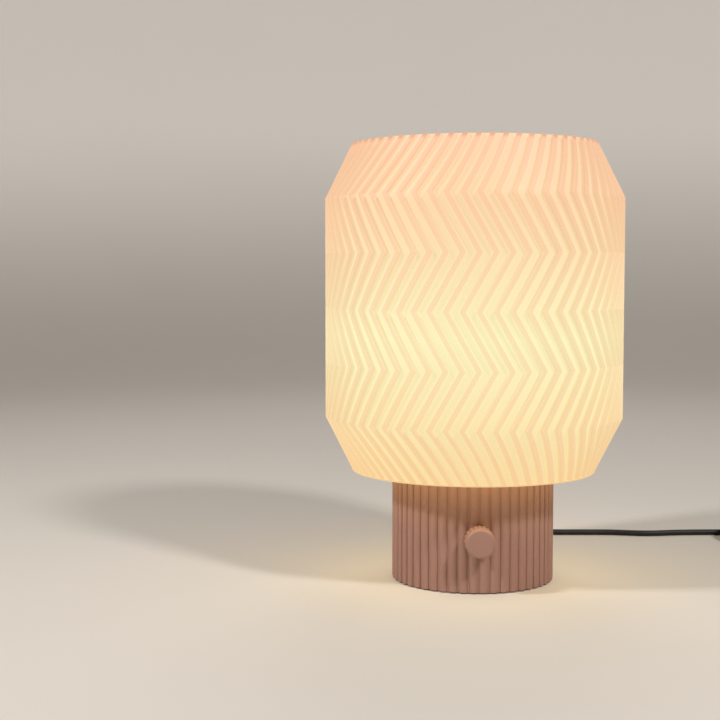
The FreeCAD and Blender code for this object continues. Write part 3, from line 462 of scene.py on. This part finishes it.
def base_finish():
    """Matt plastic, dusty pink, with faint streaks drawn along the reeds."""
    material, graph, shader = new_finish("base_plastic")
    streak = noise(graph, 1.2, stretch=(1, 1, REED_STREAK))
    cloud = noise(graph, 22, 1.0)
    grain = noise(graph, 0.7)
    colour = varied(graph, streak * 0.5 + cloud * 0.3 + grain * 0.2, BASE_PAINT, 0.90, 1.10)
    feed(graph, shader, Base_Color=colour, Roughness=0.52 + (streak - 0.5) * 0.2,
         Normal=bump(graph, grain * 0.5 + streak * 0.5, 0.03))
    return material


METAL_MARK = 0.5          # width of the drawn marks on metal
METAL_CLOUD = 16          # marks to a cloud


def wrapped_metal(name, colour, rough):
    """Bare metal with fine drawn marks round its axis."""
    material, graph, shader = new_finish(name)
    marks = noise(graph, METAL_MARK, 3.0, (6, 6, 1))
    cloud = noise(graph, METAL_MARK * METAL_CLOUD)
    feed(graph, shader, Base_Color=varied(graph, cloud, colour, 0.82, 1.05), Metallic=1.0,
         Roughness=rough + marks * 0.16, Normal=bump(graph, marks, 0.008))
    return material


BOARD_WEAVE = 0.9         # millimetres to each radian of the board's weave


def board_finish():
    """A laminate board whose fibres are woven square."""
    material, graph, shader = new_finish("board_laminate")
    across = coordinate(graph, "X") / (BOARD_WEAVE * MM)
    up = coordinate(graph, "Z") / (BOARD_WEAVE * MM)
    weave = (across.sine() * up.sine()) * 0.5 + 0.5
    cloud = noise(graph, 6, 1.0)
    colour = graph.mix(weave * 0.5 + cloud * 0.4, paint(150, 120, 62), paint(186, 156, 92))
    feed(graph, shader, Base_Color=colour, Roughness=0.42 + weave * 0.1, Normal=bump(graph, weave, 0.01))
    return material


BULB_BODY = (0.5,) * 3    # share of its glow's colour that the opal glass has
BULB_STRENGTH = 1.2


def bulb_finish():
    """Opal glass that glows softly and evenly."""
    material, graph, shader = new_finish("bulb_opal")
    cloud = noise(graph, 18, 1.0)
    colour = graph.mix(cloud, paint(255, 236, 196), paint(255, 246, 220))
    feed(graph, shader, Base_Color=graph.vector("MULTIPLY", colour, BULB_BODY), Emission_Color=colour,
         Emission_Strength=BULB_STRENGTH, Roughness=0.25 + cloud * 0.05)
    return material


def cord_finish():
    """Black flexible sheath, satin, with faint draw marks and handling dust."""
    material, graph, shader = new_finish("cord_black")
    marks = noise(graph, 0.6)
    dust = noise(graph, 14, 3.0)
    colour = graph.mix(dust.between(0.45, 0.8) * 0.5 + marks * 0.2, paint(15, 13, 12), paint(38, 35, 33))
    feed(graph, shader, Base_Color=colour, Roughness=0.42 + marks * 0.16, Normal=bump(graph, marks, 0.02))
    return material


finishes = {
    "base_plastic": base_finish(),
    "shade_lid": lid_finish(),
    "cover_plastic": plain_finish("cover_plastic", paint(60, 55, 52), 0.6),
    "foot_rubber": plain_finish("foot_rubber", paint(34, 33, 33), 0.8, size=0.8, mottle=0.2, depth=0.04),
    "steel": wrapped_metal("zinc_steel", paint(176, 178, 182), 0.24),
    "brass": wrapped_metal("brass", paint(206, 172, 98), 0.22),
    "holder_plastic": plain_finish("holder_plastic", paint(40, 38, 37), 0.38,
                                   size=1.0, mottle=0.15, depth=0.015),
    "insulator": plain_finish("ceramic", paint(226, 220, 208), 0.3, size=2.5, mottle=0.04),
    "control_case": plain_finish("control_case", paint(46, 47, 50), 0.45),
    "board": board_finish(),
    "board_parts": plain_finish("board_parts", paint(150, 108, 60), 0.35, size=1.2, mottle=0.2),
    "terminal_plastic": plain_finish("terminal_plastic", paint(228, 226, 218), 0.4, mottle=0.04),
    "lead_brown": plain_finish("lead_brown", paint(104, 62, 40), 0.4),
    "lead_blue": plain_finish("lead_blue", paint(48, 86, 150), 0.4),
    "cord_black": cord_finish(),
    "plug_black": plain_finish("plug_black", paint(30, 29, 29), 0.42, size=0.7, mottle=0.2),
    "pin_metal": wrapped_metal("pin_nickel", paint(198, 196, 188), 0.16),
    "bulb_opal": bulb_finish(),
    "bulb_white": plain_finish("bulb_white", paint(232, 230, 226), 0.4, size=2.0, mottle=0.03),
    "cap_metal": wrapped_metal("cap_nickel", paint(190, 190, 188), 0.2),
    "insulator_black": plain_finish("insulator_black", paint(24, 24, 26), 0.3),
}

FINISH_OF_NODE = {
    "base_plastic": ["base_shell", "knob"],
    "shade_lid": ["shade_floor", "shade_top"],
    "cover_plastic": ["bottom_cover"],
    "foot_rubber": ["foot_ring"],
    "steel": ["cover_screws", "dimmer_bush", "dimmer_washer", "dimmer_nut", "dimmer_shaft",
              "terminal_screws", "clamp_screws"],
    "holder_plastic": ["lampholder_body", "lampholder_ring", "lampholder_cap"],
    "insulator": ["lampholder_core"],
    "brass": ["lampholder_shell", "centre_contact", "bulb_contact"],
    "control_case": ["dimmer_body"],
    "board": ["dimmer_board", "led_plate"],
    "board_parts": ["dimmer_parts"],
    "terminal_plastic": ["terminal_block", "cord_clamp", "clamp_post_left", "clamp_post_right"],
    "lead_brown": ["lead_supply", "lead_switched", "cord_cores"],
    "lead_blue": ["lead_neutral"],
    "cord_black": ["strain_relief", "cord_inlet"],
    "plug_black": ["plug_body"],
    "pin_metal": ["plug_pins"],
    "bulb_opal": ["bulb_globe"],
    "bulb_white": ["bulb_collar"],
    "cap_metal": ["bulb_cap"],
    "insulator_black": ["bulb_insulator"],
}


def finish_nodes():
    for finish, members in FINISH_OF_NODE.items():
        for member in members:
            for entry in nodes[member].material_slots:
                entry.material = finishes[finish]


finish_nodes()
cord.data.materials.append(finishes["cord_black"])


# ---------------------------------------------------------------- lofted forms

def loft(loops, filled):
    """Closed loops of points, each joined to the next, with a face over each loop in filled."""
    mesh = bmesh.new()
    rings = [[mesh.verts.new(place) for place in loop] for loop in loops]
    for lower, upper in zip(rings, rings[1:]):
        for side in range(len(lower)):
            after = (side + 1) % len(lower)
            mesh.faces.new((lower[side], lower[after], upper[after], upper[side]))
    for end in filled:
        mesh.faces.new(rings[end])
    return mesh


def smooth_object(name, mesh, material):
    """The object of a finished mesh, shaded smooth."""
    data = bpy.data.meshes.new(name)
    mesh.to_mesh(data)
    mesh.free()
    for face in data.polygons:
        face.use_smooth = True
    data.materials.append(material)
    return placed(name, data)


# ---------------------------------------------------------------- knob

KNOB_MIDDLE = (0.0, 35.4)      # its axis crosses the front at this x and height
KNOB_BACK = -55.2
KNOB_LENGTH = 13.0
KNOB_RADIUS = 9.95
KNOB_HOLLOW = 6.0              # depth of the hollow in its back
KNOB_HOLLOW_RADIUS = 7.95
KNOB_HOLLOW_RING = 3.0         # radius of the ring on the hollow's floor
KNOB_BEVEL = 0.3               # of its back edge, along the knob
KNOB_BEVEL_ACROSS = 0.35
KNOB_TAPER = 0.02              # radius lost for each millimetre along the flutes
KNOB_SHOULDER = 0.2            # radius lost where the flutes start to run out
KNOB_NECK = 0.25               # radius lost where they have run out
KNOB_EDGE = 1.9                # radius of its rounded front edge
KNOB_FACE_RINGS = (0.6, 0.25)  # rings on its front face, as shares of its radius
KNOB_SHARP = math.radians(40)
KNOB_FLUTES = 20
KNOB_SIDES = 12                # points round each flute
FLUTE_DEPTH = 0.55
FLUTE_SHARPNESS = 1.5
FLUTE_END = 10.9               # where along the knob the flutes have run out
FLUTE_FADE = 1.6               # the length over which they do so
FLUTE_RINGS = 8
FADE_RINGS = 5
EDGE_RINGS = 8


def knob_rings():
    """The knob's half section as (place along its axis, radius, share of the flutes' depth)."""
    fade_start = FLUTE_END - FLUTE_FADE
    edge_start = KNOB_LENGTH - KNOB_EDGE
    edge_middle = KNOB_RADIUS - KNOB_NECK - KNOB_EDGE
    rings = [
        (KNOB_HOLLOW, KNOB_HOLLOW_RING, 0.0),
        (KNOB_HOLLOW, KNOB_HOLLOW_RADIUS, 0.0),
        (0.0, KNOB_HOLLOW_RADIUS, 0.0),
        (0.0, KNOB_RADIUS - KNOB_BEVEL_ACROSS, 0.6),
        (KNOB_BEVEL, KNOB_RADIUS, 1.0),
    ]
    for step in range(1, FLUTE_RINGS + 1):
        along = KNOB_BEVEL + (fade_start - KNOB_BEVEL) * step / FLUTE_RINGS
        rings.append((along, KNOB_RADIUS - KNOB_TAPER * along, 1.0))
    for step in range(1, FADE_RINGS + 1):
        fade = step / FADE_RINGS
        lost = KNOB_SHOULDER + (KNOB_NECK - KNOB_SHOULDER) * fade
        rings.append((fade_start + FLUTE_FADE * fade, KNOB_RADIUS - lost, 1 - fade * fade))
    for step in range(EDGE_RINGS + 1):
        turn = math.pi / 2 * step / EDGE_RINGS
        along = edge_start + KNOB_EDGE * math.sin(turn)
        rings.append((along, edge_middle + KNOB_EDGE * math.cos(turn), 0.0))
    for share in KNOB_FACE_RINGS:
        rings.append((KNOB_LENGTH, KNOB_RADIUS * share, 0.0))
    return rings


def knob_loop(along, radius, depth):
    """The points of one ring of the knob."""
    sides = KNOB_FLUTES * KNOB_SIDES
    loop = []
    for side in range(sides):
        angle = 2 * math.pi * side / sides
        hollow = (0.5 - 0.5 * math.cos(angle * KNOB_FLUTES)) ** FLUTE_SHARPNESS
        reach = radius - FLUTE_DEPTH * depth * hollow
        loop.append(metres((
            KNOB_MIDDLE[0] + reach * math.cos(angle),
            KNOB_BACK - along,
            KNOB_MIDDLE[1] + reach * math.sin(angle),
        )))
    return loop


def make_knob():
    """The knob, with shallow round flutes that run out before its rounded front edge."""
    mesh = loft([knob_loop(*ring) for ring in knob_rings()], (0, -1))
    bmesh.ops.recalc_face_normals(mesh, faces=mesh.faces)
    knob = smooth_object("fluted_knob", mesh, finishes["base_plastic"])
    knob.data.set_sharp_from_angle(angle=KNOB_SHARP)
    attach(knob, "knob")
    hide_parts("knob")


make_knob()


# ---------------------------------------------------------------- pleated shade wall

SHADE_SIZES = {
    "Rim radius": 82 * MM,
    "Ridge radius": 99.97 * MM,
    "Pleat depth": 3 * MM,
    "Wall": 1.2 * MM,
    "Bottom": 74.85 * MM,
    "Lowest crease": 110.5 * MM,
    "Band height": 36.5 * MM,
    "Twist": math.radians(12.0),
    "Phase": math.radians(-3.4),
    "Ridge width": math.radians(1.7),
    "Flank width": math.radians(0.65),
}
PLEATS = 60
BANDS = 6
BAND_STEPS = 6
RIDGE_STEPS = 2
FLANK_STEPS = 4
VALLEY_STEPS = 3
PLEAT_STEPS = RIDGE_STEPS + 2 * FLANK_STEPS + VALLEY_STEPS
SEAM_GAP = 0.002          # points of the wall's edges closer than this are merged
WALL_SHARP = math.radians(32)


def add_input(tree, name, kind="NodeSocketFloat"):
    return tree.interface.new_socket(name=name, in_out="INPUT", socket_type=kind)


def pleat_tree():
    """A tree that folds a grid into the closed wall of the shade.

    Along the grid the points go round the pleats: ridge, flank, valley, flank. Across it they go up
    the outside, over the top rim, down the inside and back over the bottom rim. A row or column is
    a whole number, so it is compared with a half.
    """
    tree = bpy.data.node_groups.new("pleated_wall", "GeometryNodeTree")
    for name in SHADE_SIZES:
        add_input(tree, name)
    add_input(tree, "Material", "NodeSocketMaterial")
    tree.interface.new_socket(name="Wall", in_out="OUTPUT", socket_type="NodeSocketGeometry")
    graph = Graph(tree)
    entry = tree.nodes.new("NodeGroupInput")
    sizes = {name: Flow(graph, entry.outputs[name]) for name in SHADE_SIZES}

    rows = BANDS * BAND_STEPS
    across = 2 * (rows + 1) + 1
    grid = graph.node("GeometryNodeMeshGrid", {}, {
        "Vertices X": PLEATS * PLEAT_STEPS + 1,
        "Vertices Y": across,
    })
    index = graph.node("GeometryNodeInputIndex")
    column = (index / across).floor()
    row = index % across
    row = row * (row < across - 1.5)
    inside = row > rows + 0.5
    climb = row + inside * (2 * rows + 1 - 2 * row)
    level = climb / BAND_STEPS
    from_rim = level.least(BANDS - level).least(1.0)

    step = column % PLEAT_STEPS
    pleat = (column / PLEAT_STEPS).floor()
    ridge_end = RIDGE_STEPS
    valley_start = ridge_end + FLANK_STEPS
    valley_end = valley_start + VALLEY_STEPS
    over_ridge = step.between(0, ridge_end)
    down = step.between(ridge_end, valley_start)
    over_valley = step.between(valley_start, valley_end)
    up = step.between(valley_end, PLEAT_STEPS)
    relief = 1 - down.between(0, 1, smooth=True) + up.between(0, 1, smooth=True)

    pitch = 2 * math.pi / PLEATS
    valley_width = pitch - sizes["Ridge width"] - 2 * sizes["Flank width"]
    ridge_radius = sizes["Rim radius"] + (sizes["Ridge radius"] - sizes["Rim radius"]) * from_rim
    inset = sizes["Wall"] * inside
    lean = sizes["Twist"] * (1 - level.to_and_fro())
    angle = sizes["Phase"] + lean + pleat * pitch
    angle = angle + over_ridge * sizes["Ridge width"] + (down + up) * sizes["Flank width"]
    angle = angle + over_valley * valley_width
    angle = angle + inset / ridge_radius * (1 - 2 * over_ridge + 2 * over_valley)
    radius = ridge_radius - inset - sizes["Pleat depth"] * (1 - relief)
    above = sizes["Lowest crease"] + sizes["Band height"] * (level - 1)
    below = (sizes["Bottom"] - sizes["Lowest crease"] + sizes["Band height"]) * (1 - level.least(1.0))

    place = graph.node("ShaderNodeCombineXYZ", {}, {
        "X": radius * angle.sine(),
        "Y": 0 - radius * angle.cosine(),
        "Z": above + below,
    })
    folded = graph.node("GeometryNodeSetPosition", {}, {"Geometry": grid, "Position": place})
    marked = graph.node("GeometryNodeStoreNamedAttribute", {"data_type": "FLOAT", "domain": "POINT"},
                        {"Geometry": folded, "Name": "relief", "Value": relief})
    closed = graph.node("GeometryNodeMergeByDistance", {}, {"Geometry": marked, "Distance": SEAM_GAP * MM})
    smooth = graph.node("GeometryNodeSetShadeSmooth", {}, {"Geometry": closed})
    whole = graph.node("GeometryNodeRealizeInstances", {}, {"Geometry": smooth})
    coloured = graph.node("GeometryNodeSetMaterial", {}, {
        "Geometry": whole,
        "Material": Flow(graph, entry.outputs["Material"]),
    })
    leave = tree.nodes.new("NodeGroupOutput")
    tree.links.new(coloured.socket, leave.inputs["Wall"])
    return tree


def grown(name, tree, values):
    """The plain mesh that a tree makes with the given values of its named inputs."""
    holder = placed(name, bpy.data.meshes.new(name + "_seed"))
    modifier = holder.modifiers.new("grow", "NODES")
    modifier.node_group = tree
    for item in tree.interface.items_tree:
        if item.item_type == "SOCKET" and item.in_out == "INPUT":
            modifier[item.identifier] = values[item.name]
    depsgraph = bpy.context.evaluated_depsgraph_get()
    mesh = bpy.data.meshes.new_from_object(holder.evaluated_get(depsgraph), depsgraph=depsgraph)
    mesh.name = name
    holder.modifiers.remove(modifier)
    holder.data = mesh
    return holder


def make_shade_wall():
    values = dict(SHADE_SIZES, Material=shade_finish())
    wall = grown("pleated_wall", pleat_tree(), values)
    wall.data.set_sharp_from_angle(angle=WALL_SHARP)
    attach(wall, "shade")
    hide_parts("shade_wall")


make_shade_wall()


# ---------------------------------------------------------------- stage and light

FLOOR_PAINT = paint(226, 220, 212)
FLOOR_CLOUD = 220         # millimetres
LIFT_HEIGHT = 0.6         # where the wall has its whole lift, which only the camera sees
LIFT_STRENGTH = 0.40
NO_LIGHT = (0.0, 0.0, 0.0, 1.0)

STAGE_RINGS = (0.85, 0.6, 0.3)     # rings on the flat floor, as shares of its radius
STAGE_FLAT = 1.4          # radius of the flat floor
STAGE_RUN = 2.0           # how far out the floor goes on as it rises
STAGE_RISE = 2.8
STAGE_STEPS = 24
STAGE_SIDES = 96

# Azimuth (0 in front, 90 at the right) and elevation in degrees, distance, width, watts, colour.
LAMPS = {
    "right_lamp": (38, 41, 1.7, 0.24, 13.6, (1.0, 0.97, 0.93)),
    "left_lamp": (-63, 35, 1.7, 0.20, 13.6, (1.0, 0.97, 0.95)),
    "back_lamp": (172, 45, 1.9, 0.90, 6.0, (1.0, 0.97, 0.94)),
}
LAMP_AIM = Vector((0, 0, 0.13))    # near the foot of the shade
WORLD_COLOUR = (1.0, 0.98, 0.96, 1.0)
WORLD_STRENGTH = 0.14


def stage_finish():
    """Pale paper, whose wall looks as light as its floor to the camera."""
    material, graph, shader = new_finish("stage_paper")
    colour = varied(graph, noise(graph, FLOOR_CLOUD), FLOOR_PAINT, 0.98, 1.02)
    seen = graph.node("ShaderNodeLightPath", out="Is Camera Ray")
    lift = coordinate(graph, "Z").between(0.0, LIFT_HEIGHT, smooth=True) * seen
    feed(graph, shader, Base_Color=colour, Roughness=0.9, Emission_Strength=LIFT_STRENGTH,
         Emission_Color=graph.mix(lift, NO_LIGHT, FLOOR_PAINT))
    return material


def stage_loop(radius, height):
    """The points of one ring of the stage."""
    turns = [2 * math.pi * side / STAGE_SIDES for side in range(STAGE_SIDES)]
    return [(radius * math.cos(turn), radius * math.sin(turn), height) for turn in turns]


def make_stage():
    """A pale floor that rises, ever more steeply, into a wall all round."""
    loops = []
    for step in range(STAGE_STEPS, -1, -1):
        share = step / STAGE_STEPS
        loops.append(stage_loop(STAGE_FLAT + STAGE_RUN * share, STAGE_RISE * share ** 3))
    for share in STAGE_RINGS:
        loops.append(stage_loop(STAGE_FLAT * share, 0.0))
    smooth_object("stage_sweep", loft(loops, (-1,)), stage_finish())


def soft_lamp(name, azimuth, elevation, distance, width, power, colour):
    """A round lamp that is aimed at the lamp on the table."""
    across, up = math.radians(azimuth), math.radians(elevation)
    away = Vector((math.sin(across) * math.cos(up), -math.cos(across) * math.cos(up), math.sin(up)))
    data = bpy.data.lights.new(name, "AREA")
    data.shape = "DISK"
    data.size = width
    data.energy = power
    data.color = colour
    lamp = placed(name, data)
    lamp.location = LAMP_AIM + away * distance
    lamp.rotation_euler = away.to_track_quat("Z", "Y").to_euler()


def make_light():
    for name, settings in LAMPS.items():
        soft_lamp(name, *settings)
    world = bpy.data.worlds.new("studio")
    world.use_nodes = True
    background = world.node_tree.nodes["Background"]
    background.inputs["Color"].default_value = WORLD_COLOUR
    background.inputs["Strength"].default_value = WORLD_STRENGTH
    bpy.context.scene.world = world
    bpy.context.scene.view_settings.view_transform = "Standard"


make_stage()
make_light()
